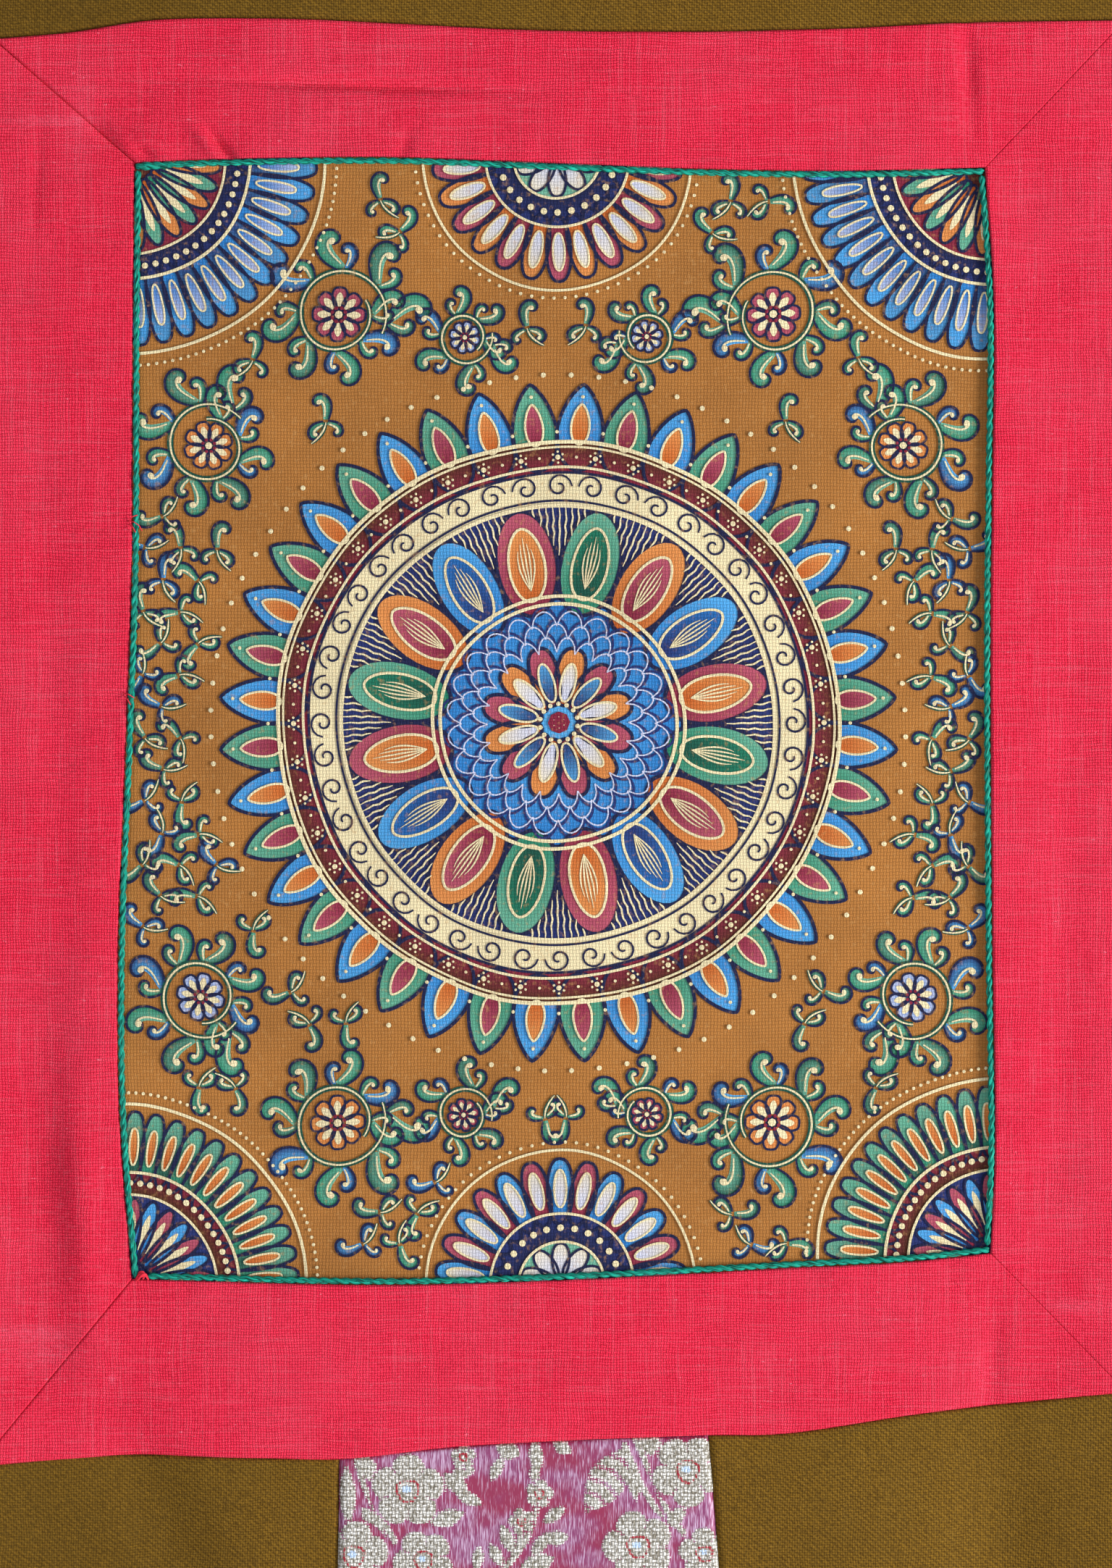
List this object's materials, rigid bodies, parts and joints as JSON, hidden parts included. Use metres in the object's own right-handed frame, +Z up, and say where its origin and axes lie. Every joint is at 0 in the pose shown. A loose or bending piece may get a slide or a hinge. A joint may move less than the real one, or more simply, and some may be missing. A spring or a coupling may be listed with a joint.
{
  "type": "hanging scroll painting with a cloth mount",
  "caption": "Small hanging scroll painting: painted cotton panel, mitred red cotton border, green cord edging, olive cloth mount and a brocade door panel.",
  "frame": {"origin": "middle of the top edge, where the scroll hangs", "axes": "+Z up along the hanging cloth, +X to the viewer's right, the painted side faces -Y"},
  "size_m": [0.407, 0.0125, 0.6156],
  "materials": {
    "painted_canvas": "matt painted cotton canvas, ochre ground",
    "red_cotton": "matt plain-weave cotton, crimson red, slightly faded",
    "olive_cloth": "fine woven cloth, olive brown, faint sheen",
    "brocade": "floral brocade, silver-gold floats on a pink satin ground",
    "green_cord": "twisted green silk cord"
  },
  "bodies": {
    "root": {"painting": "painted_canvas", "border_top": "red_cotton", "border_bottom": "red_cotton", "border_left": "red_cotton", "border_right": "red_cotton", "mount_top": "olive_cloth", "mount_left": "olive_cloth", "mount_right": "olive_cloth", "mount_lower_left": "olive_cloth", "mount_lower_right": "olive_cloth", "door_panel": "brocade", "cord_top": "green_cord", "cord_bottom": "green_cord", "cord_left": "green_cord", "cord_right": "green_cord"}
  },
  "joints": []
}
